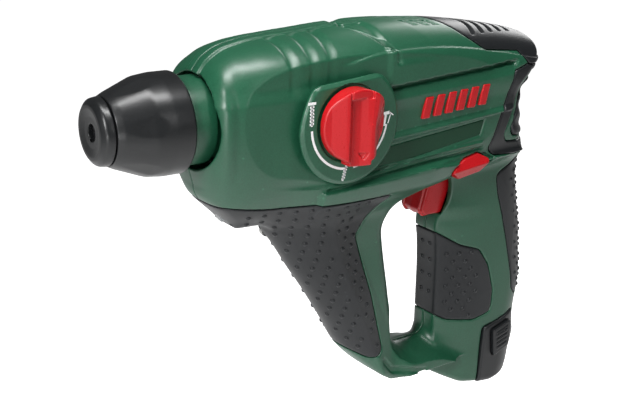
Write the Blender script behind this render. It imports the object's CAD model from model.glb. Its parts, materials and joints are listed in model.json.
"""Visual model of a compact battery rotary hammer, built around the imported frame.

Lengths are in millimetres until a mesh is made, in the frame's own axes: +X to the rear, +Z up,
-Y to the tool's left. The moulded pieces come from signed distance fields on a lattice.
"""

import json
import math

import bpy
import numpy as np
from mathutils import Matrix, Vector


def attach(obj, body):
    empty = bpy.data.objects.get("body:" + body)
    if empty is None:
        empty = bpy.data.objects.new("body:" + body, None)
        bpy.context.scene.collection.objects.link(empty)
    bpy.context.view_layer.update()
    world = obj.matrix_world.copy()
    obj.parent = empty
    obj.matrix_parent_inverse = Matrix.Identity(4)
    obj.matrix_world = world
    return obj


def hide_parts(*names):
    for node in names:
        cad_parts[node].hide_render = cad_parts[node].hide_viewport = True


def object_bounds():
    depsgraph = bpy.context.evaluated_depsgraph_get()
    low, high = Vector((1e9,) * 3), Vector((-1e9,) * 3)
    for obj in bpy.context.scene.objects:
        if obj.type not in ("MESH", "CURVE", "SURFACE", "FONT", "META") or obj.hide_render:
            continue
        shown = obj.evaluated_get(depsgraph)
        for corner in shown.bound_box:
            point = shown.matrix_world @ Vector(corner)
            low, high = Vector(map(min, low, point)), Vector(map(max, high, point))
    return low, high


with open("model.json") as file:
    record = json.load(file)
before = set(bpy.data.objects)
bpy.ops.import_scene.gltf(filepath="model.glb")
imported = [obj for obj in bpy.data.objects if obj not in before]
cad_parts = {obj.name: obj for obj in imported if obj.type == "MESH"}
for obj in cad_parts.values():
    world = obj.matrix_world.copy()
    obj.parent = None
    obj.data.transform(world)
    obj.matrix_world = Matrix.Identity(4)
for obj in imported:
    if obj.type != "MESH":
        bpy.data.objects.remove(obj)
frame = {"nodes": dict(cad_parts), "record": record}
cad_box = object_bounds()

MM = 0.001
SCENE = bpy.context.scene
HOUSING_STEP = 0.5
DETAIL_STEP = 0.3


# ---------- curves and outlines ----------

def smooth(t):
    t = np.clip(t, 0.0, 1.0)
    return t * t * (3 - 2 * t)


def curve(x, points):
    """Smooth curve through points (x, value), flat beyond the ends."""
    px = np.array([p[0] for p in points], float)
    py = np.array([p[1] for p in points], float)
    slope = np.gradient(py, px)
    x = np.clip(x, px[0], px[-1])
    i = np.clip(np.searchsorted(px, x, side="right") - 1, 0, len(px) - 2)
    h = px[i + 1] - px[i]
    t = (x - px[i]) / h
    a = (1 + 2 * t) * (1 - t) ** 2 * py[i] + t * (1 - t) ** 2 * h * slope[i]
    b = t * t * (3 - 2 * t) * py[i + 1] + t * t * (t - 1) * h * slope[i + 1]
    return (a + b).astype(np.float32)


def rounded(corners, steps=6):
    """Points of a closed outline given as corners (u, v, radius)."""
    out = []
    for i, (u, v, r) in enumerate(corners):
        b = np.array((u, v), float)
        a = np.array(corners[i - 1][:2], float) - b
        c = np.array(corners[(i + 1) % len(corners)][:2], float) - b
        la, lc = np.linalg.norm(a), np.linalg.norm(c)
        half = math.acos(max(-1.0, min(1.0, float(a @ c) / (la * lc)))) / 2
        reach = min(r / math.tan(half), la * 0.49, lc * 0.49)
        start, end = b + a / la * reach, b + c / lc * reach
        for k in range(steps + 1):
            t = k / steps
            out.append((1 - t) ** 2 * start + 2 * t * (1 - t) * b + t * t * end)
    return np.array(out)


def outline(u, v, corners):
    """Signed distance from points (u, v) to a rounded outline, negative inside."""
    pts = rounded(corners)
    best = np.full(np.broadcast(u, v).shape, 1e9, np.float32)
    sign = np.ones(best.shape, np.float32)
    for a, b in zip(pts, np.roll(pts, 1, axis=0)):
        e = b - a
        length = float(e @ e)
        if length < 1e-12:
            continue
        wu, wv = u - a[0], v - a[1]
        t = np.clip((wu * e[0] + wv * e[1]) / length, 0, 1)
        best = np.minimum(best, (wu - e[0] * t) ** 2 + (wv - e[1] * t) ** 2)
        above, below = v >= a[1], v < b[1]
        left = e[0] * wv > e[1] * wu
        flip = (above & below & left) | (~above & ~below & ~left)
        sign = np.where(flip, -sign, sign)
    return sign * np.sqrt(best)


# ---------- combining fields ----------

def meet(a, b, r=0.0):
    """Intersection of two fields, with the edge between them rounded to radius r."""
    if r <= 0:
        return np.maximum(a, b)
    corner = np.hypot(np.maximum(a + r, 0), np.maximum(b + r, 0)) - r
    return np.where((a > -r) & (b > -r), corner, np.maximum(a, b))


def join(a, b, r):
    """Union of two fields, blended over the distance r."""
    h = np.clip(0.5 + 0.5 * (b - a) / r, 0, 1)
    return b + (a - b) * h - r * h * (1 - h)


def bump(s, width):
    """1 at s = 0, falling smoothly to 0 at a distance of width."""
    return smooth(1 - np.abs(s) / width)


class Block:
    """A box of lattice points, as arrays x, y and z that broadcast together."""

    def __init__(self, low, high, step):
        self.step = step
        self.low = np.floor(np.array(low, float) / step) * step
        counts = np.ceil((np.array(high, float) - self.low) / step).astype(int) + 1
        axes = [(self.low[i] + step * np.arange(counts[i])).astype(np.float32) for i in range(3)]
        self.x = axes[0][:, None, None]
        self.y = axes[1][None, :, None]
        self.z = axes[2][None, None, :]
        self.shape = tuple(counts)


def distance_scaled(f, step, limit=6.0):
    """The field divided by its own slope, so that it measures distance near its surface."""
    g = np.zeros(f.shape, np.float32)
    for axis in range(3):
        d = np.gradient(f, step, axis=axis)
        g += d * d
        del d
    return np.clip(f / np.sqrt(np.maximum(g, 0.04)), -limit, limit)


def surface_mesh(name, block, f):
    """Mesh of the surface where the field is zero, one vertex per lattice cell that it crosses."""
    f = np.pad(np.broadcast_to(f, block.shape).astype(np.float32), 1, constant_values=9.0)
    low = block.low - block.step
    inside = f < 0
    total = sum(inside[i:f.shape[0] - 1 + i, j:f.shape[1] - 1 + j, k:f.shape[2] - 1 + k].astype(np.int8)
                for i in (0, 1) for j in (0, 1) for k in (0, 1))
    cells = np.argwhere((total > 0) & (total < 8))
    if len(cells) == 0:
        raise RuntimeError(name + " is empty")
    index = np.full(total.shape, -1, np.int32)
    index[tuple(cells.T)] = np.arange(len(cells))
    corner = {(i, j, k): f[cells[:, 0] + i, cells[:, 1] + j, cells[:, 2] + k]
              for i in (0, 1) for j in (0, 1) for k in (0, 1)}
    place = np.zeros((len(cells), 3))
    count = np.zeros(len(cells))
    for a in corner:
        for axis in range(3):
            if a[axis]:
                continue
            b = tuple(1 if i == axis else a[i] for i in range(3))
            fa, fb = corner[a], corner[b]
            crossed = (fa < 0) != (fb < 0)
            t = np.where(crossed, fa / np.where(crossed, fa - fb, 1), 0)
            for i in range(3):
                place[:, i] += np.where(crossed, a[i] + (t if i == axis else 0), 0)
            count += crossed
    points = low + (cells + place / count[:, None]) * block.step
    quads = []
    for axis in range(3):
        u, v = (axis + 1) % 3, (axis + 2) % 3
        shift = [slice(None)] * 3
        shift[axis] = slice(0, -1)
        other = list(shift)
        other[axis] = slice(1, None)
        here, there = inside[tuple(shift)], inside[tuple(other)]
        for leaving in (True, False):
            edges = np.argwhere(here & ~there if leaving else ~here & there)
            ring = []
            for du, dv in ((1, 1), (0, 1), (0, 0), (1, 0)):
                q = edges.copy()
                q[:, u] -= du
                q[:, v] -= dv
                ring.append(index[tuple(q.T)])
            ring = np.stack(ring, 1)
            quads.append(ring if leaving else ring[:, ::-1])
    return mesh_object(name, points * MM, np.concatenate(quads))


def mesh_object(name, points, faces):
    """Object with the given points (metres) and faces, shaded smooth."""
    mesh = bpy.data.meshes.new(name)
    faces = np.asarray(faces, np.int32)
    mesh.vertices.add(len(points))
    mesh.vertices.foreach_set("co", np.asarray(points, np.float32).ravel())
    mesh.loops.add(faces.size)
    mesh.loops.foreach_set("vertex_index", faces.ravel())
    mesh.polygons.add(len(faces))
    mesh.polygons.foreach_set("loop_start", np.arange(len(faces), dtype=np.int32) * faces.shape[1])
    mesh.polygons.foreach_set("use_smooth", np.ones(len(faces), bool))
    mesh.update(calc_edges=True)
    mesh.validate()
    obj = bpy.data.objects.new(name, mesh)
    SCENE.collection.objects.link(obj)
    return obj


def piece(obj, body, slot, material, *nodes):
    """Gives a finished mesh its material, its body and the CAD nodes that it stands for."""
    obj.data.materials.append(material)
    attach(obj, body)
    if nodes:
        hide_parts(*nodes)
    return obj


# ---------- materials ----------

def new_material(name):
    mat = bpy.data.materials.new(name)
    mat.use_nodes = True
    tree = mat.node_tree
    return mat, tree, tree.nodes["Principled BSDF"]


def add(tree, kind, **values):
    node = tree.nodes.new(kind)
    for key, value in values.items():
        if key in node.inputs:
            node.inputs[key].default_value = value
        else:
            setattr(node, key, value)
    return node


def link(source, target):
    source.id_data.links.new(source, target)


def colour_between(tree, factor, dark, light, low=0.35, high=0.65):
    ramp = add(tree, "ShaderNodeValToRGB")
    ramp.color_ramp.elements[0].position = low
    ramp.color_ramp.elements[0].color = (*dark, 1)
    ramp.color_ramp.elements[1].position = high
    ramp.color_ramp.elements[1].color = (*light, 1)
    link(factor, ramp.inputs["Fac"])
    return ramp.outputs["Color"]


def moulded(name, dark, light, roughness=0.45, grain=900.0, bump_height=0.04, sheen=0.0,
            specular=0.5):
    """Moulded plastic or rubber: fine grain in colour, gloss and height, with faint wear at edges."""
    mat, tree, bsdf = new_material(name)
    where = add(tree, "ShaderNodeTexCoord").outputs["Object"]
    fine = add(tree, "ShaderNodeTexNoise", Scale=grain, Detail=3.0, Roughness=0.6)
    broad = add(tree, "ShaderNodeTexNoise", Scale=14.0, Detail=3.0)
    for node in (fine, broad):
        link(where, node.inputs["Vector"])
    mixed = add(tree, "ShaderNodeMix", data_type="FLOAT")
    mixed.inputs[0].default_value = 0.5
    link(broad.outputs["Fac"], mixed.inputs[2])
    link(fine.outputs["Fac"], mixed.inputs[3])
    base = colour_between(tree, mixed.outputs[0], dark, light)
    edge = add(tree, "ShaderNodeNewGeometry")
    worn = add(tree, "ShaderNodeMapRange")
    worn.inputs["From Min"].default_value = 0.54
    worn.inputs["From Max"].default_value = 0.64
    worn.inputs["To Max"].default_value = 0.35
    link(edge.outputs["Pointiness"], worn.inputs["Value"])
    blend = add(tree, "ShaderNodeMix", data_type="RGBA")
    link(worn.outputs["Result"], blend.inputs["Factor"])
    link(base, blend.inputs[6])
    blend.inputs[7].default_value = (*[min(1, c * 2.2 + 0.02) for c in light], 1)
    link(blend.outputs[2], bsdf.inputs["Base Color"])
    gloss = add(tree, "ShaderNodeMapRange")
    gloss.inputs["To Min"].default_value = max(0.05, roughness - 0.08)
    gloss.inputs["To Max"].default_value = min(1.0, roughness + 0.08)
    link(fine.outputs["Fac"], gloss.inputs["Value"])
    link(gloss.outputs["Result"], bsdf.inputs["Roughness"])
    height = add(tree, "ShaderNodeBump", Strength=0.5, Distance=bump_height * MM)
    link(fine.outputs["Fac"], height.inputs["Height"])
    link(height.outputs["Normal"], bsdf.inputs["Normal"])
    bsdf.inputs["Specular IOR Level"].default_value = specular
    bsdf.inputs["Sheen Weight"].default_value = sheen
    return mat


def metal(name, colour, roughness, grain=(30.0, 900.0, 900.0)):
    """Machined metal: fine turning or brushing marks, with slightly uneven brightness."""
    mat, tree, bsdf = new_material(name)
    where = add(tree, "ShaderNodeTexCoord").outputs["Object"]
    stretch = add(tree, "ShaderNodeMapping")
    stretch.inputs["Scale"].default_value = grain
    link(where, stretch.inputs["Vector"])
    marks = add(tree, "ShaderNodeTexNoise", Scale=1.0, Detail=4.0)
    link(stretch.outputs["Vector"], marks.inputs["Vector"])
    dark = [c * 0.85 for c in colour]
    link(colour_between(tree, marks.outputs["Fac"], dark, colour), bsdf.inputs["Base Color"])
    gloss = add(tree, "ShaderNodeMapRange")
    gloss.inputs["To Min"].default_value = roughness - 0.08
    gloss.inputs["To Max"].default_value = roughness + 0.12
    link(marks.outputs["Fac"], gloss.inputs["Value"])
    link(gloss.outputs["Result"], bsdf.inputs["Roughness"])
    height = add(tree, "ShaderNodeBump", Strength=0.3, Distance=0.02 * MM)
    link(marks.outputs["Fac"], height.inputs["Height"])
    link(height.outputs["Normal"], bsdf.inputs["Normal"])
    bsdf.inputs["Metallic"].default_value = 1.0
    return mat


def clear_plastic(name):
    """Smooth clear plastic, for the lamp's window."""
    mat, _, bsdf = new_material(name)
    bsdf.inputs["Base Color"].default_value = (0.85, 0.9, 0.93, 1)
    bsdf.inputs["Roughness"].default_value = 0.08
    bsdf.inputs["Transmission Weight"].default_value = 0.8
    return mat


GREEN = moulded("green_shell", (0.006, 0.056, 0.027), (0.013, 0.094, 0.047), roughness=0.36,
                grain=1500.0, bump_height=0.05, specular=0.6)
PANEL = moulded("green_panel", (0.005, 0.038, 0.017), (0.008, 0.052, 0.024), roughness=0.3,
                grain=2500.0, bump_height=0.01, specular=0.3)
BLACK = moulded("black_plastic", (0.006, 0.007, 0.008), (0.012, 0.0135, 0.015), roughness=0.40,
                grain=1800.0, bump_height=0.04, specular=0.4)
GRIP = moulded("soft_grip", (0.007, 0.008, 0.0095), (0.015, 0.017, 0.019), roughness=0.46,
               grain=1600.0, bump_height=0.05, sheen=0.08, specular=0.35)
SLEEVE = moulded("sleeve_plastic", (0.006, 0.0065, 0.007), (0.011, 0.012, 0.013), roughness=0.32,
                 grain=2000.0, bump_height=0.03, specular=0.45)
RED = moulded("red_plastic", (0.40, 0.005, 0.008), (0.48, 0.008, 0.012), roughness=0.3,
              grain=1500.0, bump_height=0.02, specular=0.4)
WHITE = moulded("white_print", (0.78, 0.8, 0.8), (0.86, 0.87, 0.87), roughness=0.5,
                grain=1500.0, bump_height=0.01)
SEAL = moulded("seal_rubber", (0.012, 0.013, 0.014), (0.022, 0.023, 0.024), roughness=0.6)
STEEL = metal("hardened_steel", (0.5, 0.5, 0.52), 0.28)
GEARS = metal("gear_steel", (0.55, 0.55, 0.57), 0.3)
BEARING = metal("bearing_steel", (0.72, 0.72, 0.74), 0.16)
SPRING = metal("spring_steel", (0.42, 0.42, 0.45), 0.3)
CAST = metal("cast_case", (0.62, 0.63, 0.64), 0.45, grain=(400.0, 400.0, 400.0))
BRONZE = metal("bronze", (0.62, 0.4, 0.18), 0.4)
ZINC = metal("fastener_steel", (0.6, 0.6, 0.58), 0.32)
COPPER = metal("winding", (0.6, 0.26, 0.12), 0.35, grain=(900.0, 60.0, 900.0))
MAGNET = moulded("magnet", (0.05, 0.05, 0.055), (0.09, 0.09, 0.095), roughness=0.6, grain=600.0)
CARBON = moulded("carbon", (0.02, 0.02, 0.02), (0.04, 0.04, 0.04), roughness=0.5, grain=600.0)
BOARD = moulded("board", (0.01, 0.1, 0.035), (0.015, 0.14, 0.05), roughness=0.35, grain=300.0)
CELL = moulded("cell_wrap", (0.03, 0.12, 0.3), (0.04, 0.16, 0.38), roughness=0.3, grain=500.0)
LAMP = moulded("lamp", (0.8, 0.8, 0.7), (0.9, 0.9, 0.8), roughness=0.2, grain=500.0)
LENS = clear_plastic("lamp_lens")

CAD_LOOKS = {
    "green_shell": GREEN, "black_plastic": BLACK, "soft_grip": GRIP, "fastener_steel": ZINC,
    "red_plastic": RED, "lamp_lens": LENS, "lamp": LAMP, "cast_case": CAST, "bronze": BRONZE,
    "seal_rubber": SEAL, "bearing_steel": BEARING, "hardened_steel": STEEL, "gear_steel": GEARS,
    "spring_steel": SPRING, "sleeve_plastic": SLEEVE, "piston_alloy": CAST, "motor_shell": ZINC,
    "magnet": MAGNET, "carbon": CARBON, "winding": COPPER, "board": BOARD,
    "battery_plastic": BLACK, "cell_wrap": CELL,
}
for part in frame["record"]["subparts"]:
    node = frame["nodes"][part["node"]]
    node.data.materials.clear()
    node.data.materials.append(CAD_LOOKS[part["material_slot"]])
    for face in node.data.polygons:
        face.material_index = 0


# ---------- base shape of the housing ----------

GRIP_LEAN = math.radians(6)
GRIP_X, GRIP_Z = 200.5, -60.0
RISE = 0.068          # slope of the body's design lines towards the rear
KNOB_X, KNOB_Z, KNOB_R = 97.5, -1.8, 15.0

TOP_LINE = [(41, 17), (45, 22.5), (51, 27), (60, 29.8), (76, 31.6), (90, 32.6), (100, 33.4), (112, 34),
            (125, 34.2), (137, 33.7), (150, 33), (163, 32.2), (176, 30.8), (188, 29.2), (200, 27.2),
            (210, 25), (217, 22.5), (222, 19.5)]
BOTTOM_LINE = [(41, -21.5), (44, -31), (48, -38), (54, -43), (62, -45), (75, -41), (100, -36),
               (150, -34), (231, -34)]
WIDTH_LINE = [(41, 19), (43, 22.6), (50, 25), (60, 27.4), (74, 29.4), (92, 30.2), (120, 29.6),
              (160, 27.6), (196, 25), (220, 24)]
REAR_LINE = [(-60, 214), (-31, 214.4), (-24, 214.8), (-16, 213.9), (-9, 213), (-2, 212.8), (2, 214.2),
             (5, 216.4), (8, 218.8), (11, 220.6), (14, 221.8), (17, 221.2), (20, 218.8), (24, 213),
             (30, 201)]
GRIP_REAR = [(-158, 213), (-154, 220), (-148, 222.9), (-140, 224.2), (-132, 226), (-123, 225.8),
             (-115, 226.2), (-107, 227.3), (-98, 227.8), (-90, 226.8), (-82, 225.7), (-73, 224.7),
             (-65, 223), (-57, 221.3), (-49, 219.7), (-41, 218.7), (-30, 218)]
GRIP_FRONT = [(-158, 172), (-125, 171), (-100, 170.4), (-88, 170.2), (-76, 169.4), (-66, 168.2),
              (-60, 169.4), (-54, 172.2), (-46, 173.3), (-40, 172), (-30, 168)]
GRIP_HALF = 17.4

SIDE_HULL = [(36, 39, 3), (234, 39, 3), (234, -100, 3), (231, -140, 10), (222, -152.5, 9), (203, -154, 10),
             (186, -151.6, 10), (168, -143, 10), (157, -140, 8), (139, -135.6, 12), (124.5, -126, 8),
             (113, -116, 8), (76, -59, 10), (74, -50, 6), (69.5, -48, 2), (58, -47.3, 3), (50, -38.8, 3),
             (41, -31.5, 3)]
LOOP = [(138.5, -47.3, 10), (133, -58, 10), (136.8, -78, 30), (142.4, -106, 20), (147.6, -124.5, 8),
        (215, -124.5, 1), (215, -28, 1), (162, -38.4, 10), (148, -41.6, 12)]
FLANGE_LINE = [(130, -119.6), (139, -119.6), (144, -125.5), (150.6, -129.3), (160, -130.4), (169, -132),
               (181, -136.8), (192, -141.3), (206, -147)]
STRUT_CREASE = [(30, 93), (43, 97), (62, 103.5), (88, 114.5), (121, 129), (150, 140)]
STRUT_FRONT = [(30, 48), (40, 58), (46, 67), (49, 72.5), (53, 76), (59, 80.5), (73, 89.5), (87, 99),
               (95, 104), (105, 110), (113, 114.5), (119, 118.5), (125, 124), (150, 150)]
REAR_DEPTH = 22.0      # how far forward the rounding of the rear end reaches
REAR_HALF = 25.5       # half-width of that rounding


def barrel_field(b):
    """The body around the hammer mechanism and the motor, as sections lofted along X."""
    x = b.x
    top, bottom, width = curve(x, TOP_LINE), curve(x, BOTTOM_LINE), curve(x, WIDTH_LINE)
    middle = 3.0
    u = np.abs(b.y) / width
    above, below = top - middle, middle - bottom
    v = np.where(b.z > middle, (b.z - middle) / above, (middle - b.z) / below)
    squareness = curve(x, [(44, 2.3), (80, 2.5), (110, 4.2), (200, 4.6)])
    n = np.where(b.z > middle, 2.7, squareness).astype(np.float32)
    shape = (np.power(np.maximum(u, 1e-4), n) + np.power(np.maximum(v, 1e-4), n)) ** (1 / n) - 1
    reach = np.where(b.z > middle, np.minimum(width, above), np.minimum(width, below))
    behind = np.maximum(b.x - (curve(b.z, REAR_LINE) - REAR_DEPTH), 0) / REAR_DEPTH
    end = (np.hypot(behind, b.y / REAR_HALF) - 1) * REAR_DEPTH
    return np.maximum(shape * reach, end).astype(np.float32)


def frame_field(b):
    """Neck, strut and foot: a keel-shaped plate round the hand opening."""
    z = b.z
    crease = curve(-z, STRUT_CREASE)
    front = curve(-z, STRUT_FRONT)
    half = curve(-z, [(28, 27), (34, 25.5), (42, 22), (50, 19), (60, 17.6), (88, 16.8), (121, 16.4),
                      (132, 17.6), (156, 18.2)])
    depth = 2.0 * (crease - front)
    ahead = np.clip((front + depth - b.x) / depth, 0, 3)
    bow = half * 1.11
    nose = bow * (np.hypot(ahead, np.abs(b.y) / bow) - 1)
    taper = 0.30 * np.clip(b.x - crease, 0, 14) * smooth((-z - 36) / 16) * smooth((150 - b.x) / 12)
    rise = z - curve(b.x, FLANGE_LINE)
    hollow = 10.0 * (1 - np.clip(1 - rise / 6.5, 0, 1) ** 2) * smooth((b.x - 139) / 7)
    taper = np.where(rise > 0, taper + hollow * smooth((-z - 100) / 8), taper)
    shape = meet(nose, np.abs(b.y) - (half - taper), 0.5)
    hole = outline(b.x, z, LOOP)
    shape = meet(shape, -hole, 6.5)
    box = np.maximum(z + 30, b.x - 206)
    return np.maximum(shape, box).astype(np.float32)


def grip_axes(b):
    """Distance along the battery's lean from its middle line, and down it from its centre."""
    dx, dz = b.x - GRIP_X, b.z - GRIP_Z
    along = dx * math.cos(GRIP_LEAN) + dz * math.sin(GRIP_LEAN)
    down = dx * math.sin(GRIP_LEAN) - dz * math.cos(GRIP_LEAN)
    return along, down


def grip_field(b):
    """Handle: a long oval, cut flat across its narrow front."""
    centre = curve(b.z, GRIP_REAR) - GRIP_HALF
    front = curve(b.z, GRIP_FRONT)
    cut = 3.6 + 5.4 * smooth((b.z + 64) / 9)
    ahead = np.maximum(centre - b.x, 0) / (centre - front + cut)
    behind = np.maximum(b.x - centre, 0) / GRIP_HALF
    shape = GRIP_HALF * (np.hypot(ahead + behind, b.y / GRIP_HALF) - 1)
    shape = meet(shape, front - b.x, 0.6)
    return np.maximum(shape, b.z + 22).astype(np.float32)


def chin_field(b):
    """Small nose under the barrel that carries the lamp."""
    side = outline(b.x, b.z, [(56, -30, 1), (50, -33, 1), (58, -47.3, 2.5), (70, -48.2, 3),
                              (84, -50, 3), (84, -30, 1)])
    return meet(np.broadcast_to(side, b.shape), np.abs(b.y) - 7.5, 2.0)


def base_field(b):
    """The whole outer shape, before grooves and panels."""
    hull = outline(b.x, b.z, SIDE_HULL)
    body = barrel_field(b)
    lower = join(frame_field(b), grip_field(b), 7.0)
    lower = join(lower, chin_field(b), 3.0)
    whole = join(body, lower, 5.0)
    return meet(whole, np.broadcast_to(hull, b.shape), 3.0)


# ---------- surface detail of the housing ----------

def side_lines(b):
    """Grooves, ribs and panels that run along both sides. Positive sinks the surface."""
    q = b.z - RISE * (b.x - 120)
    on_side = smooth((np.abs(b.y) - 13) / 5)
    run = smooth((b.x - 119) / 3) * smooth((197 - b.x) / 4)
    slot = 3.2 * smooth((q - 7.2) / 0.4) * smooth((9.5 - q) / 0.4)
    slope = 1.3 * smooth((7.6 - q) / 0.4) * np.clip((q - 3.4) / 4.0, 0, 1)
    rib = -1.3 * smooth((-10.6 - q) / 2.2) * smooth((q + 13.8) / 0.6)
    panel = 1.1 * smooth(-outline(b.x, b.z, NAME_PANEL) / 0.8)
    below_panel = smooth((b.x - 112) / 2) * smooth((178 - b.x) / 2)
    lip = -0.7 * bump(q + 25.3 + 0.016 * (b.x - 176), 0.8) * below_panel
    groove = 1.2 * bump(q + 28.4, 1.3) * smooth((b.x - 90) / 2) * smooth((180 - b.x) / 4)
    ledge = -1.8 * smooth((-28.6 - q) / 0.9) * smooth((b.x - 87.5) / 1.5) * smooth((164 - b.x) / 20)
    ledge = ledge * smooth((q + 44) / 8)
    return on_side * ((slot + slope + rib) * run + panel + lip + groove + ledge)


def shoulder_band(b):
    """Raised band between the line along the shoulder and the slot below it."""
    line = curve(b.x, [(90, 19.5), (97, 20.5), (113, 23.6), (141, 24.4), (160, 23), (177, 20.5), (210, 14)])
    span = smooth((b.x - 96) / 12) * smooth((np.abs(b.y) - 12) / 4)
    fade = smooth((b.z + 2) / 8)
    return -0.9 * smooth((line - b.z) / 0.7) * span * fade


def top_lines(b):
    """Raised spine, gill slits, arc step and vents on the upper side."""
    y = np.abs(b.y)
    high = smooth((b.z - 8) / 6)
    spine = 1.1 * smooth((y - 4.2) / 0.9) * smooth((122 - b.x) / 3)
    gills = 0
    for start, lean in ((73.0, 0.0), (83.5, 0.08), (93.5, 0.14)):
        along = b.x - start + lean * (y - 7)
        cut = smooth((along + 1.3) / 1.5) * smooth((4.6 - along) / 3.8)
        gills = gills + 0.9 * cut * smooth((y - 4.6) / 1.6) * smooth((27 - y) / 8)
    arc = b.x - (108 + 0.0235 * y * y)
    step = 2.0 * bump(arc - 1.5, 1.8) + 0.7 * smooth(arc / 1.4) * np.clip((26 - arc) / 22, 0, 1)
    vents = 0
    for start in (142, 148, 154):
        slat = np.maximum(np.abs(b.x - start - 0.5 * (y - 10)) - 1.7, np.abs(y - 10) - 3.2)
        vents = vents + 3.0 * smooth(-slat / 0.4)
    return high * (spine + gills + vents) + smooth((b.z - 18) / 3) * step


def foot_lines(b):
    """Shallow recess on each side of the foot."""
    plate = outline(b.x, b.z, [(134, -121.5, 3), (139.5, -128.5, 3), (160, -133.2, 2), (158.5, -136.6, 2),
                               (138, -132, 4), (132, -124.5, 3)])
    return 0.7 * smooth(-plate / 0.7) * smooth((np.abs(b.y) - 9) / 3)


def detail_field(b):
    return side_lines(b) + shoulder_band(b) + top_lines(b) + foot_lines(b)


NAME_PANEL = [(120, -16, 0.8), (178.5, -10.6, 1.2), (176, -18.6, 1.2), (109.8, -27.4, 0.8)]
LEVER = [(159.0, -33.6, 1.0), (161.2, -30.6, 1.5), (167.0, -28.2, 2), (175.4, -26.6, 1.5),
         (181.4, -29.6, 1.2), (180.2, -32.2, 1.2), (176.4, -35.4, 1.5), (163.8, -37.2, 1.5)]
TRIGGER = [(160.5, -38, 1), (176.5, -38, 1), (174.5, -50, 10), (171.0, -59.4, 1.5), (160.6, -59.2, 2),
           (158.6, -56.5, 1.5), (161.9, -44.5, 8)]
STRUT_PAD = [(36, -33, 1), (52, -34.2, 20), (70, -36.6, 30), (93, -37.4, 30), (106, -37.6, 20),
             (126.8, -37.6, 2.5), (121, -48.3, 4), (115.2, -58.4, 3), (120.6, -74.1, 20), (126, -89.9, 30),
             (131.4, -111.3, 10), (133, -118.4, 3), (127, -121.8, 5), (112, -113.6, 6), (84, -90, 1),
             (36, -50, 1)]
FINGER_PAD = [(150, -65.5, 1), (169, -69.3, 3), (180, -76.2, 14), (190.5, -79.6, 5), (196.5, -88.6, 14),
              (200.8, -103, 14), (200.2, -114.2, 5), (190, -117, 10), (176, -115.4, 8), (168, -111.2, 4),
              (150, -110.5, 1)]
PALM_PAD = [(214, -33, 1), (196.2, -42, 4), (198.7, -52.8, 14), (202.6, -63.7, 20), (206.9, -77.6, 30),
            (211.7, -94.6, 30), (213.6, -104.5, 4), (217, -108.6, 3), (240, -106, 1), (240, -30, 1)]
COVER = [(150, 50, 1), (157.5, 34, 3), (166, 27, 20), (176.5, 20, 3), (198, 17.8, 1.5),
         (204, 11.5, 1.5), (240, 9.5, 1), (240, 50, 1)]
RIM = [(203, 12.0, 1), (194.5, 9.5, 2), (188.5, -8, 10), (182, -26, 4), (186, -29.5, 3),
       (240, -33, 1), (240, 10, 1), (205, 11.2, 1)]
RIM_INNER = [(240, 8, 1), (206, 8.3, 2), (200.5, 4.5, 3), (191.5, -20, 3), (194, -24, 3),
             (240, -27, 1)]
GRILLE = [(240, 5, 1), (207, 5, 2), (203, 1.5, 3), (196, -18, 3), (198, -21.5, 3), (240, -24, 1)]
BATTERY_LINE = [(194, -165, 1), (196, -122.3, 2.5), (205.5, -120, 10), (216.5, -116.2, 2),
                (219.8, -128, 3), (240, -134, 1), (240, -165, 1)]

SEAM = 0.35                  # gap between neighbouring mouldings
BODY_WALL, GRIP_WALL = 4.3, 2.6
SCREWS = [(56.5, 22.5), (152, 27.5), (193, 22), (84, -57), (127, -119), (136, -46), (183, -142.5),
          (208, -34)]
SCREW_HEAD_Y, SCREW_HEAD_R = 9.0, 3.4
COLLAR_HALF_Y, COLLAR_HALF_Z = 21.9, 19.2     # opening round the collar
TRIGGER_HALF = 8.6
LEVER_SEAT = 18.5            # how close to the middle plane the lever's recess comes

whole = Block((36, -34, -159), (236, 34, 41), HOUSING_STEP)
base = distance_scaled(base_field(whole), whole.step)
skin = (base + detail_field(whole)).astype(np.float32)
wall = GRIP_WALL + (BODY_WALL - GRIP_WALL) * smooth((whole.z + 40) / 6)
inner_face = -np.maximum(base + wall, 57 - whole.x)
areas = {name: outline(whole.x, whole.z, corners) for name, corners in (
    ("strut", STRUT_PAD), ("finger", FINGER_PAD), ("palm", PALM_PAD), ("cover", COVER),
    ("rim", RIM), ("rim_inner", RIM_INNER), ("grille", GRILLE), ("battery", BATTERY_LINE))}


def plate_outline(b):
    """Side outline of the flat plate round the mode knob."""
    disc = np.hypot(b.x - 98.5, b.z + 3.0) - 24.5
    top = b.z - 14.0 - 0.09 * (b.x - 79)
    front = (78.0 - b.x) * 0.94 + (b.z - 12) * 0.34
    return meet(meet(disc, top, 2.0), front, 2.0)


def shell_region():
    """Where the green shells are: outside every pad, cover and the battery."""
    keep = -9.0
    for name in ("strut", "finger", "palm", "cover", "rim", "battery"):
        keep = np.maximum(keep, SEAM / 2 - areas[name])
    return keep


def collar_opening():
    oval = np.hypot(whole.y / COLLAR_HALF_Y, (whole.z + 0.4) / COLLAR_HALF_Z) - 1
    return np.maximum(19.6 * oval, whole.x - 54)


def knob_openings():
    """Bed of the plate, clearance round the knob, and the hole for its shaft."""
    from_shaft = np.hypot(whole.x - KNOB_X, whole.z - KNOB_Z)
    moat = np.maximum(from_shaft - 16.4, whole.y + 26.5)
    shaft = np.maximum(from_shaft - 5.6, whole.y + 18)
    bed = np.maximum(plate_outline(whole) - 0.25, whole.y + 28.0)
    return moat, shaft, bed


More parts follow.
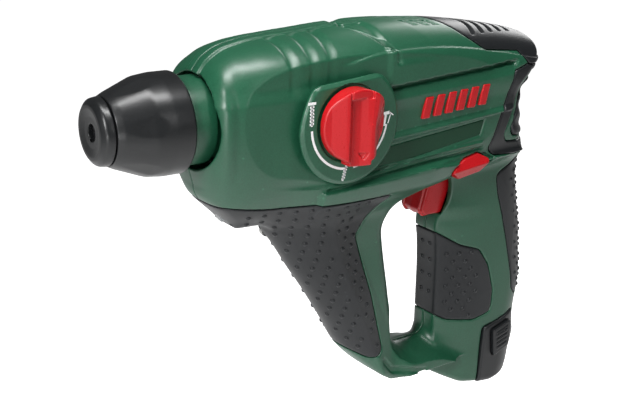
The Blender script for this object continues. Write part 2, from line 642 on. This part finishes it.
def control_openings():
    """Slot that the trigger slides in, and the recesses of the direction lever."""
    between = np.abs(whole.y) - TRIGGER_HALF
    pulled = np.maximum(outline(whole.x - 5, whole.z, TRIGGER) - 0.5, 154 - whole.x)
    at_rest = outline(whole.x, whole.z, TRIGGER) - 0.5
    lever = np.maximum(outline(whole.x, whole.z, LEVER) - 0.45, LEVER_SEAT - np.abs(whole.y))
    dish = np.maximum(-skin - 1.4, 10 - np.abs(whole.y))
    dish = np.maximum(outline(whole.x - 5, whole.z + 0.6, LEVER), dish)
    return np.maximum(between, pulled), np.maximum(between, at_rest), lever, dish


def screw_openings():
    """Recesses for the screw heads, on the right side."""
    ways = 9.0
    for x, z in SCREWS:
        recess = np.hypot(whole.x - x, whole.z - z) - SCREW_HEAD_R
        ways = np.minimum(ways, np.maximum(recess, SCREW_HEAD_Y - whole.y))
    return ways


def housing_shells():
    shells = meet(skin, shell_region(), 0.4)
    shells = np.maximum(shells, inner_face)
    shells = meet(shells, -collar_opening(), 0.8)
    for opening in (*knob_openings(), *control_openings(), screw_openings()):
        shells = np.maximum(shells, -opening)
    for side, name in ((-1, "left"), (1, "right")):
        half = meet(shells, side * -whole.y + 0.12, 0.35)
        obj = surface_mesh("housing_" + name + "_shell", whole, half)
        piece(obj, "root", "green_shell", GREEN, "housing_" + name)


def cover_slots(b):
    """Five cross grooves in the cap."""
    y = np.abs(b.y)
    cuts = 0
    for k in range(5):
        along = b.x - (176 + 6.2 * k) + 0.012 * y * y
        length = smooth((19 - 1.3 * k - y) / 1.5)
        cuts = cuts + 1.3 * smooth((along + 0.5) / 0.5) * smooth((2.6 - along) / 1.8) * length
    return cuts * smooth((b.z - 6) / 4)


def pad_piece(node_name, area_name, material, slot, relief=0.0):
    """Moulding let flush into the shells, with a lip behind its seam."""
    f = meet(skin + relief, areas[area_name] + SEAM / 2, 0.5)
    lip = np.maximum(np.abs(areas[area_name]) - 1.4, np.maximum(base + 1.4, -base - 2.5))
    f = np.maximum(np.minimum(f, lip), inner_face)
    return piece(surface_mesh(node_name + "_moulding", whole, f), "root", slot, material, node_name)


def rear_vent():
    """Black rim and ribbed insert at the back, with the green bed between them."""
    rim = meet(meet(skin, areas["rim"] + SEAM / 2, 0.8), -areas["rim_inner"], 0.8)
    rim = np.maximum(rim, inner_face)
    ribs = 0.7 * np.sin((whole.z + 0.25 * whole.x) * math.pi / 8.5) ** 2 - 0.3
    insert = np.maximum(meet(skin - ribs, areas["grille"], 1.2), inner_face)
    bed = np.maximum(np.maximum(skin + 0.5, areas["rim_inner"] + 0.2),
                     np.maximum(inner_face, SEAM - areas["grille"]))
    piece(surface_mesh("vent_rim", whole, rim), "root", "black_plastic", BLACK, "vent_grille")
    piece(surface_mesh("vent_insert", whole, insert), "root", "black_plastic", BLACK)
    piece(surface_mesh("vent_surround", whole, bed), "root", "green_shell", GREEN)


housing_shells()
areas["strut"] = np.maximum(areas["strut"], whole.z + 29)      # the pad stops below the barrel
pad_piece("strut_pad", "strut", GRIP, "soft_grip")
pad_piece("finger_pad", "finger", GRIP, "soft_grip")
pad_piece("palm_pad", "palm", GRIP, "soft_grip")
pad_piece("rear_cover", "cover", BLACK, "black_plastic", cover_slots(whole))
rear_vent()


# ---------- bumps on the soft pads ----------

def sample(block, field, points):
    """Field values at points, by linear interpolation on the lattice."""
    g = (points - block.low) / block.step
    g = np.clip(g, 0, np.array(field.shape) - 1.001)
    i = g.astype(int)
    t = g - i
    value = np.zeros(len(points))
    for a in (0, 1):
        for c in (0, 1):
            for d in (0, 1):
                weight = (np.where(a, t[:, 0], 1 - t[:, 0]) * np.where(c, t[:, 1], 1 - t[:, 1])
                          * np.where(d, t[:, 2], 1 - t[:, 2]))
                value += weight * field[i[:, 0] + a, i[:, 1] + c, i[:, 2] + d]
    return value


def section_path(centre, span, reach=45.0, steps=160):
    """Points where rays from a centre meet the skin, from the middle plane round to one side.

    span is the range of ray directions in degrees, 0 towards -X and 90 towards -Y.
    """
    angles = np.radians(np.linspace(span[0], span[1], steps))
    ways = np.stack([-np.cos(angles), -np.sin(angles), np.zeros(steps)], 1)
    near, far = np.zeros(steps), np.full(steps, reach)
    for _ in range(14):
        half = (near + far) / 2
        out = sample(whole, skin, centre + ways * half[:, None]) > 0
        far, near = np.where(out, half, far), np.where(out, near, half)
    return centre + ways * ((near + far) / 2)[:, None]


def spaced(path, spacing, start):
    """Points along a path, spacing apart, the first of them start from its beginning."""
    length = np.concatenate([[0], np.cumsum(np.linalg.norm(np.diff(path, axis=0), axis=1))])
    at = np.arange(start, length[-1], spacing)
    return np.stack([np.interp(at, length, path[:, k]) for k in range(3)], 1)


def domes(name, places, radius, height, material):
    """One mesh of small domes standing on the skin at the given places."""
    eps = 0.6
    grads = np.stack([sample(whole, skin, places + step) - sample(whole, skin, places - step)
                      for step in eps * np.eye(3)], 1)
    grads /= np.linalg.norm(grads, axis=1)[:, None]
    rings, sides = 5, 14
    points, faces = [], []
    for place, normal in zip(places, grads):
        u = np.cross(normal, (0.3, 0.1, 1.0))
        u /= np.linalg.norm(u)
        v = np.cross(normal, u)
        first = len(points)
        for i in range(rings + 1):
            a = math.pi / 2 * i / rings
            for k in range(sides):
                t = 2 * math.pi * k / sides
                flat = radius * math.cos(a) if i < rings else 0.02
                lift = height * math.sin(a) - 0.25 * (1 - i / rings)
                points.append(place + (u * math.cos(t) + v * math.sin(t)) * flat + normal * lift)
        for i in range(rings):
            for k in range(sides):
                m = (k + 1) % sides
                faces.append((first + i * sides + k, first + i * sides + m,
                              first + (i + 1) * sides + m, first + (i + 1) * sides + k))
    obj = mesh_object(name, np.array(points) * MM, faces)
    return piece(obj, "root", "soft_grip", material)


def in_area(places, corners, margin):
    d = outline(places[:, 0], places[:, 2], corners)
    return places[d < -margin]


def both_sides(places):
    return np.concatenate([places, places * np.array((1, -1, 1))])


def strut_bumps():
    rows = []
    for k in range(19):
        z = -40 - 4.4 * k
        crease = float(curve(np.array([-z]), STRUT_CREASE)[0])
        path = section_path(np.array((crease + 4, 0.0, z)), (0, 125))
        rows.append(spaced(path[path[:, 0] < crease - 1.5], 7.0, 6.0 if k % 2 else 9.5))
        behind = path[path[:, 0] > crease + 2.4]
        if len(behind) > 2:
            rows.append(spaced(behind, 6.0, 0.4 if k % 2 else 3.4))
    places = in_area(np.concatenate(rows), STRUT_PAD, 2.2)
    return both_sides(places[places[:, 2] < -39])


def grip_bumps(corners, centre_from_rear, span, lower, upper, start):
    rows = []
    for k, z in enumerate(np.arange(upper, lower, -4.2)):
        rear = float(curve(np.array([z]), GRIP_REAR)[0])
        path = section_path(np.array((rear - centre_from_rear, 0.0, z)), span)
        rows.append(spaced(path, 6.4, start + 3.2 * (k % 2)))
    places = in_area(np.concatenate(rows), corners, 2.3)
    on_crease = (places[:, 0] < 174) & (np.abs(places[:, 1]) > 5.0) & (np.abs(places[:, 1]) < 9.5)
    return both_sides(places[~on_crease])


domes("strut_pad_bumps", strut_bumps(), 1.25, 0.75, GRIP)
domes("finger_pad_bumps", grip_bumps(FINGER_PAD, 40, (0, 100), -119, -68, 2.7), 1.2, 0.8, GRIP)
domes("palm_pad_bumps", grip_bumps(PALM_PAD, GRIP_HALF, (180, 100), -110, -38, 2.7), 1.2, 0.8, GRIP)


# ---------- chuck and collar ----------

def lathe(name, profile, sides, radius_at):
    """Closed ring turned about the spindle line from a closed profile of (x, r)."""
    profile = np.array(profile, float)
    t = np.linspace(0, 2 * math.pi, sides, endpoint=False)
    x = np.repeat(profile[:, 0][:, None], sides, 1)
    r = np.repeat(profile[:, 1][:, None], sides, 1)
    r = radius_at(x, r, t[None, :])
    points = np.stack([x, -r * np.sin(t), r * np.cos(t)], 2).reshape(-1, 3) * MM
    n = len(profile)
    faces = [(i * sides + k, i * sides + (k + 1) % sides, ((i + 1) % n) * sides + (k + 1) % sides,
              ((i + 1) % n) * sides + k) for i in range(n) for k in range(sides)]
    return mesh_object(name, points, faces)


def profile(corners, steps=5):
    """Points (x, r) of a closed profile given as corners (x, r, rounding radius)."""
    pts = rounded(corners, steps)
    fine = []
    for a, b in zip(pts, np.roll(pts, -1, axis=0)):
        n = max(1, int(np.linalg.norm(b - a) / 1.0))
        fine += [a + (b - a) * k / n for k in range(n)]
    return fine


def sleeve_flats(x, r, t):
    """Six broad shallow flats on the cone, which fade out towards the front and the rear rim."""
    depth = 0.4 * smooth((x - 7) / 10) * smooth((23.5 - x) / 4)
    turn = np.mod(t + math.radians(12), math.pi / 3) - math.pi / 6
    flat = (r - depth) / np.cos(turn)
    return np.where(r > 12.5, np.minimum(r, flat), r)


def bore_notch(x, r, t):
    """Small keyway in the lower side of the bore's mouth."""
    turn = np.mod(t - math.radians(200) + math.pi, 2 * math.pi) - math.pi
    return np.where(r < 3.6, r + 0.9 * smooth((0.30 - np.abs(turn)) / 0.06), r)


def seam_line(x, r, t):
    """Fine groove on the collar where its two halves meet, at the top and the bottom."""
    return r - 0.25 * smooth((0.012 - np.abs(np.sin(t))) / 0.008) * (r > 17)


SLEEVE_PROFILE = [
    (5.45, 11.3, 0.2), (5.45, 13.4, 0.5), (8, 14.7, 12), (19.5, 19.3, 9), (26, 20.1, 20),
    (33.8, 20.1, 0.9), (34.6, 19.2, 0.5), (34.6, 18, 0.3), (26, 18, 1), (24.3, 14.3, 1),
    (17.1, 14.3, 0.3), (10, 11.3, 0.3)]
CAP_PROFILE = [
    (5.1, 6.1, 0.2), (2.95, 6.1, 0.3), (2.95, 3.4, 0.2), (0.9, 3.4, 0.4), (0.75, 6.0, 2.0),
    (0.05, 9.2, 1.2), (0.1, 10.6, 1.5), (1.7, 12.8, 2.5), (5.1, 13.3, 0.8)]
COLLAR_PROFILE = [
    (35.0, 15.5, 0.3), (35.0, 17.5, 0.6), (44.4, 17.6, 0.3), (44.6, 15.9, 0.2), (50.5, 15.9, 0.3),
    (50.5, 15.5, 0.1)]

sleeve = lathe("chuck_sleeve_moulding", profile(SLEEVE_PROFILE), 180, sleeve_flats)
piece(sleeve, "sleeve", "sleeve_plastic", SLEEVE, "chuck_sleeve")
cap = lathe("dust_cap_moulding", profile(CAP_PROFILE), 144, bore_notch)
piece(cap, "spindle", "seal_rubber", SLEEVE, "dust_cap")
collar = lathe("nose_collar_moulding", profile(COLLAR_PROFILE), 128, seam_line)
piece(collar, "root", "green_shell", GREEN, "nose_collar")


# ---------- knob, plate and printed marks ----------

def selector_plate():
    b = Block((71, -31, -30), (126, -26, 22), DETAIL_STEP)
    rim = plate_outline(b)
    face = -30.4 - b.y
    cut = (rim + 1.5) * 0.6 + face * 0.8
    f = np.maximum(np.maximum(meet(rim, face, 0.3), cut), b.y + 28.2)
    well = np.maximum(np.hypot(b.x - KNOB_X, b.z - KNOB_Z) - 16.0, b.y + 29.2)
    f = np.maximum(f, -well)
    f = np.maximum(f, 5.2 - np.hypot(b.x - KNOB_X, b.z - KNOB_Z))
    piece(surface_mesh("selector_plate_moulding", b, f), "root", "green_shell", GREEN, "selector_plate")


def mode_knob():
    """Round knob with a low crest, a valley, and a higher ridge that flares towards the top."""
    b = Block((80, -41, -20), (115, -29.5, 16), DETAIL_STEP)
    u, w = b.x - KNOB_X, b.z - KNOB_Z
    out = -b.y
    flare = 1.0 + 0.62 * smooth((w + 2) / 13)
    across = np.where(u > 3.0, 3.0 + (u - 3.0) / flare, u)
    top = np.interp(across, [-15, -12, -6.8, -5.8, -4.8, -3.2, 0.5, 4.4, 5.8, 7.4, 10.5, 12.5],
                    [33.2, 34.2, 37.6, 38.0, 37.2, 36.0, 36.4, 39.0, 39.3, 38.4, 34.8, 33.6])
    closed = smooth((w - 10.6) / 1.0)
    top = np.where((across > -4.8) & (across < 4.4), top * (1 - closed) + 38.0 * closed, top)
    arrow = np.maximum(np.abs(u - 1.9) - 0.62 * (w + 14.2), w + 10.9)
    top = top - 1.0 * smooth(-arrow / 0.4)
    disc = np.hypot(u, w) - KNOB_R
    tip = np.maximum(np.abs(u - 0.3) - 4.6, np.hypot(u, w) - 16.6)
    tip = np.maximum(tip, w)
    side = join(disc, tip, 0.8)
    f = meet(side, (out - top) * 0.8, 0.7)
    f = np.maximum(f, 30.6 - out)
    f = np.maximum(f, np.where(out > 33, -1.0, 3.0 - np.hypot(u, w)))
    piece(surface_mesh("mode_knob_moulding", b, f), "selector", "red_plastic", RED, "mode_knob")


def flat_print(name, outlines, y, thickness, body, slot, material):
    """Thin raised marks on a face square to Y. Each outline is a closed list of (x, z)."""
    points, faces = [], []
    for ring in outlines:
        first, n = len(points), len(ring)
        points += [(x, y, z) for x, z in ring] + [(x, y - thickness, z) for x, z in ring]
        mid = len(points)
        centre = np.mean(np.array(ring), axis=0)
        points.append((centre[0], y - thickness, centre[1]))
        for k in range(n):
            m = (k + 1) % n
            faces.append((first + k, first + m, first + n + m, first + n + k))
            faces.append((first + n + k, first + n + m, mid, mid))
    mesh = bpy.data.meshes.new(name)
    mesh.from_pydata([tuple(c * MM for c in p) for p in points], [],
                     [f if f[2] != f[3] else f[:3] for f in faces])
    mesh.update()
    obj = bpy.data.objects.new(name, mesh)
    SCENE.collection.objects.link(obj)
    return piece(obj, body, slot, material)


SCALE_R = 18.7               # radius of the printed scale round the knob


def arc_strip(cx, cz, r, width, start, end, steps):
    """Pieces of a flat ring, each a convex quad."""
    out = []
    for k in range(steps):
        a, b = (math.radians(start + (end - start) * (k + i) / steps) for i in (0, 1))
        ring = [(cx + q * math.cos(t), cz + q * math.sin(t))
                for q, t in ((r - width / 2, a), (r + width / 2, a), (r + width / 2, b), (r - width / 2, b))]
        out.append(ring)
    return out


def bar(cx, cz, length, width, angle):
    a = math.radians(angle)
    along, across = (math.cos(a), math.sin(a)), (-math.sin(a), math.cos(a))
    return [(cx + i * along[0] * length / 2 + j * across[0] * width / 2,
             cz + i * along[1] * length / 2 + j * across[1] * width / 2)
            for i, j in ((-1, -1), (1, -1), (1, 1), (-1, 1))]


def mode_marks():
    """White scale round the knob, with a plain mark for screwing, drilling and hammering."""
    cx, cz = KNOB_X, KNOB_Z
    marks = arc_strip(cx, cz, SCALE_R, 1.0, 183, 262, 14)
    marks += arc_strip(cx, cz, SCALE_R, 0.9, 277, 352, 14)
    marks += [bar(cx - 18.8, cz + 8.6 - 1.35 * k, 1.9, 0.85, 12) for k in range(6)]
    marks += [bar(cx - 18.8, cz + 5.0, 8.2, 0.7, 90), bar(cx - 18.8, cz + 10.0, 3.6, 1.0, 0)]
    marks += [bar(cx - 2.2, cz - 20.4, 6.6, 0.8, 75)]
    marks += [bar(cx - 2.2 + 0.27 * (k - 2), cz - 20.4 + 1.1 * (k - 2), 1.7, 0.55, 15) for k in range(5)]
    marks += [bar(cx + 17.7, cz - 1.0, 4.6, 1.0, 80), bar(cx + 18.0, cz + 1.9, 3.8, 1.3, 6),
              bar(cx + 19.9, cz - 0.6, 3.8, 0.4, 72), bar(cx + 21.1, cz + 1.4, 2.2, 0.45, -35)]
    flat_print("mode_marks", marks, -30.38, 0.12, "root", "green_shell", WHITE)


selector_plate()
mode_knob()
mode_marks()


# ---------- trigger, lever, badge and lamp ----------

def trigger():
    b = Block((157, -9, -62), (178, 9, -37), DETAIL_STEP)
    side = outline(b.x, b.z, TRIGGER)
    ridge = 0.9 * bump(np.abs(b.y) - 5.6, 1.0) + 0.12 * np.maximum(5.0 - np.abs(b.y), 0)
    f = meet(side - ridge * smooth((166 - b.x) / 3), np.abs(b.y) - 7.9, 1.2)
    piece(surface_mesh("trigger_moulding", b, f), "trigger_body", "red_plastic", RED, "trigger")


def direction_lever():
    b = Block((156, -28.4, -40), (185, -20, -24), DETAIL_STEP)
    side = outline(b.x, b.z, LEVER)
    ridge = np.abs(b.z + 32.2 - 0.10 * (b.x - 170))
    face = (-b.y - (27.3 - 0.42 * ridge)) * 0.9
    f = meet(meet(side, face, 0.6), b.y + 21.8, 0.3)
    left = surface_mesh("direction_lever_left", b, f)
    piece(left, "direction", "red_plastic", RED, "direction_lever")
    right = mirrored(left, "direction_lever_right")
    piece(right, "direction", "red_plastic", RED)
    c = Block((163, -23, -36), (173, 23, -33), 0.5)
    rod = meet(np.maximum(np.abs(c.x - 168) - 4, np.abs(c.z + 34.5) - 1.1), np.abs(c.y) - 22.2, 0.3)
    piece(surface_mesh("direction_lever_rod", c, rod), "direction", "red_plastic", RED)


def mirrored(obj, name):
    mesh = obj.data
    points = np.empty(len(mesh.vertices) * 3, np.float32)
    mesh.vertices.foreach_get("co", points)
    faces = np.empty(len(mesh.loops), np.int32)
    mesh.loops.foreach_get("vertex_index", faces)
    points = points.reshape(-1, 3) * np.array((1, -1, 1), np.float32)
    return mesh_object(name, points, faces.reshape(-1, 4)[:, ::-1])


BADGE_BARS, BADGE_PITCH = 6, 6.6


def badge():
    """Row of plain slanted red bars standing on the left side."""
    b = Block((138, -34, -9), (184, -20, 10), HOUSING_STEP * 0.6)
    coarse = distance_scaled(base_field(b), b.step)
    bars = 9.0
    for k in range(BADGE_BARS):
        x = 142 + BADGE_PITCH * k
        z = RISE * (x - 120) - 3.0
        lean = b.x - x - 0.22 * (b.z - z)
        bars = np.minimum(bars, np.maximum(np.abs(lean) - 2.1, np.abs(b.z - z) - 4.6))
    f = meet(meet(bars, coarse - 1.3, 0.4), -(coarse + 0.6), 0.2)
    f = np.maximum(f, b.y + 20)
    piece(surface_mesh("side_badge_bars", b, f), "root", "red_plastic", RED, "side_badge")


def name_panels():
    """Smooth dark fields let into both sides below the badge."""
    b = Block((109, -34, -30), (181, -18, -9), DETAIL_STEP)
    near = distance_scaled(base_field(b), b.step)
    field = outline(b.x, b.z, NAME_PANEL) + 0.5
    f = meet(np.broadcast_to(field, b.shape), near + 0.75, 0.2)
    left = surface_mesh("name_panel_left", b, np.maximum(f, -near - 1.5))
    piece(left, "root", "green_shell", PANEL)
    piece(mirrored(left, "name_panel_right"), "root", "green_shell", PANEL)


def lamp_lens():
    b = Block((48, -5, -48), (60, 5, -36), 0.3)
    a = math.radians(28)
    along = (b.x - 55.4) * math.cos(a) + (b.z + 42.2) * math.sin(a)
    up = (b.z + 42.2) * math.cos(a) - (b.x - 55.4) * math.sin(a)
    f = meet(np.hypot(up, b.y) - 2.6, np.abs(along) - 1.5, 0.8)
    piece(surface_mesh("lamp_window", b, f), "root", "lamp_lens", LENS, "led_lens")


trigger()
direction_lever()
badge()
name_panels()
lamp_lens()


# ---------- battery ----------

def battery():
    b = Block((160, -21, -158), (236, 21, -50), 0.45)
    hull = outline(b.x, b.z, SIDE_HULL)
    rear = np.maximum(b.x - (curve(b.z, GRIP_REAR) - GRIP_HALF), 0)
    foot = meet(np.hypot(rear, b.y) - GRIP_HALF - 0.6, np.broadcast_to(hull, b.shape), 3.0)
    foot = meet(foot, outline(b.x, b.z, BATTERY_LINE) + 0.25, 0.8)
    pocket = np.maximum(outline(b.x, b.z, LATCH) - 0.3, 13.5 - np.abs(b.y))
    along, down = grip_axes(b)
    stem = np.hypot(np.maximum(np.abs(along) - 4, 0), b.y) - 15.2
    stem = meet(stem, np.maximum(8 - down, down - 75), 1.0)
    f = np.maximum(np.minimum(foot, stem), -pocket)
    piece(surface_mesh("battery_case_moulding", b, f), "battery", "battery_plastic", BLACK, "battery_case")


LATCH = [(201.0, -124.6, 1.2), (213.2, -120.8, 1.5), (212.6, -134.8, 1.5), (202.6, -139.0, 1.5)]


def latches():
    b = Block((199, -21.5, -141), (216, -13, -119), DETAIL_STEP)
    side = outline(b.x, b.z, LATCH)
    steps = np.mod(-b.z + 0.30 * b.x - 0.4, 2.35) / 2.35
    inner = smooth((-side - 1.8) / 0.5)
    face = -b.y - (19.7 + 0.55 * inner * np.where(steps < 0.6, 1.0, 0.0))
    f = meet(meet(side, face, 0.35), b.y + 16.0, 0.2)
    left = surface_mesh("latch_left_button", b, f)
    piece(left, "latch_l", "battery_plastic", BLACK, "latch_left")
    piece(mirrored(left, "latch_right_button"), "latch_r", "battery_plastic", BLACK, "latch_right")


battery()
latches()


# ---------- stage, light and camera ----------

HEADING, CLIMB, ROLL = math.radians(-35.532), math.radians(18.36), math.radians(1.346)
CAMERA_OFFSET = (83.085, -24.553, 367.777)     # right of, above and back from the frame's origin
LENS_LENGTH, SENSOR = 57.14, 36.0


def camera():
    """Camera at the product view: from the front left, a little above."""
    right = Vector((math.cos(HEADING), math.sin(HEADING), 0))
    ahead = Vector((-math.sin(HEADING) * math.cos(CLIMB), math.cos(HEADING) * math.cos(CLIMB),
                    -math.sin(CLIMB)))
    up = right.cross(ahead)
    turn = Matrix((right * math.cos(ROLL) + up * math.sin(ROLL),
                   up * math.cos(ROLL) - right * math.sin(ROLL), -ahead)).transposed()
    data = bpy.data.cameras.new("camera")
    data.sensor_width = SENSOR
    data.lens = LENS_LENGTH
    data.clip_start, data.clip_end = 0.01, 20.0
    obj = bpy.data.objects.new("camera", data)
    obj.matrix_world = Matrix.Translation(turn @ Vector(CAMERA_OFFSET) * MM) @ turn.to_4x4()
    SCENE.collection.objects.link(obj)
    SCENE.camera = obj


def area_light(name, place, target, size, power):
    data = bpy.data.lights.new(name, "AREA")
    data.shape = "RECTANGLE"
    data.size, data.size_y = size
    data.energy = power
    obj = bpy.data.objects.new(name, data)
    obj.location = place
    obj.rotation_mode = "QUATERNION"
    obj.rotation_quaternion = (Vector(target) - Vector(place)).to_track_quat("-Z", "Y")
    SCENE.collection.objects.link(obj)


FLOOR_DROP = 0.125           # room under the foot for the battery to slide out
FLOOR_HALF = 4.0
FLOOR_GLOW = 0.96            # what the camera adds to the floor's own light
MIRRORED_GLOW = 0.3          # share of that glow seen in glossy surfaces
FILL, BACKDROP = 0.08, 1.0   # world light on the tool, and as the camera sees it
LIT_POINT = (0.12, 0, -0.04)
LIGHTS = {                   # place and size in metres, power in watts
    "top": ((0.04, -0.12, 0.60), (0.50, 0.10), 5.0),
    "key": ((-0.55, -0.30, 0.34), (0.10, 0.30), 4.6),
    "low": ((-0.45, -0.50, -0.08), (0.30, 0.08), 1.1),
    "side": ((0.25, -0.75, 0.30), (0.08, 0.40), 0.6),
    "rear": ((0.75, 0.35, 0.30), (0.3, 0.4), 1.8)}


def ray_strength(tree, ray, scale, offset=0.0):
    """Scale plus offset for rays of one kind, and the offset alone for every other ray."""
    node = add(tree, "ShaderNodeMath", operation="MULTIPLY_ADD")
    link(add(tree, "ShaderNodeLightPath").outputs[ray], node.inputs[0])
    node.inputs[1].default_value = scale
    node.inputs[2].default_value = offset
    return node


def pale_floor():
    """Plain floor that glows for the camera, and more weakly for glossy surfaces."""
    z, h = cad_box[0].z - FLOOR_DROP, FLOOR_HALF
    floor = mesh_object("floor", [(-h, -h, z), (h, -h, z), (h, h, z), (-h, h, z)], [(0, 1, 2, 3)])
    mat, tree, bsdf = new_material("floor")
    noise = add(tree, "ShaderNodeTexNoise", Scale=2.0, Detail=2.0)
    pale = colour_between(tree, noise.outputs["Fac"], (0.86, 0.86, 0.86), (0.9, 0.9, 0.9))
    link(pale, bsdf.inputs["Base Color"])
    bsdf.inputs["Roughness"].default_value = 0.9
    bsdf.inputs["Emission Color"].default_value = (1, 1, 1, 1)
    glow = ray_strength(tree, "Is Camera Ray", FLOOR_GLOW)
    mirrored_glow = ray_strength(tree, "Is Glossy Ray", FLOOR_GLOW * MIRRORED_GLOW)
    link(mirrored_glow.outputs[0], glow.inputs[2])
    link(glow.outputs[0], bsdf.inputs["Emission Strength"])
    floor.data.materials.append(mat)


def studio_light():
    world = bpy.data.worlds.new("world")
    world.use_nodes = True
    background = world.node_tree.nodes["Background"]
    background.inputs["Color"].default_value = (1, 1, 1, 1)
    strength = ray_strength(world.node_tree, "Is Camera Ray", BACKDROP - FILL, FILL)
    link(strength.outputs[0], background.inputs["Strength"])
    SCENE.world = world
    for name, (place, size, power) in LIGHTS.items():
        area_light(name, place, LIT_POINT, size, power)


pale_floor()
studio_light()
camera()
SCENE.view_settings.view_transform = "Standard"
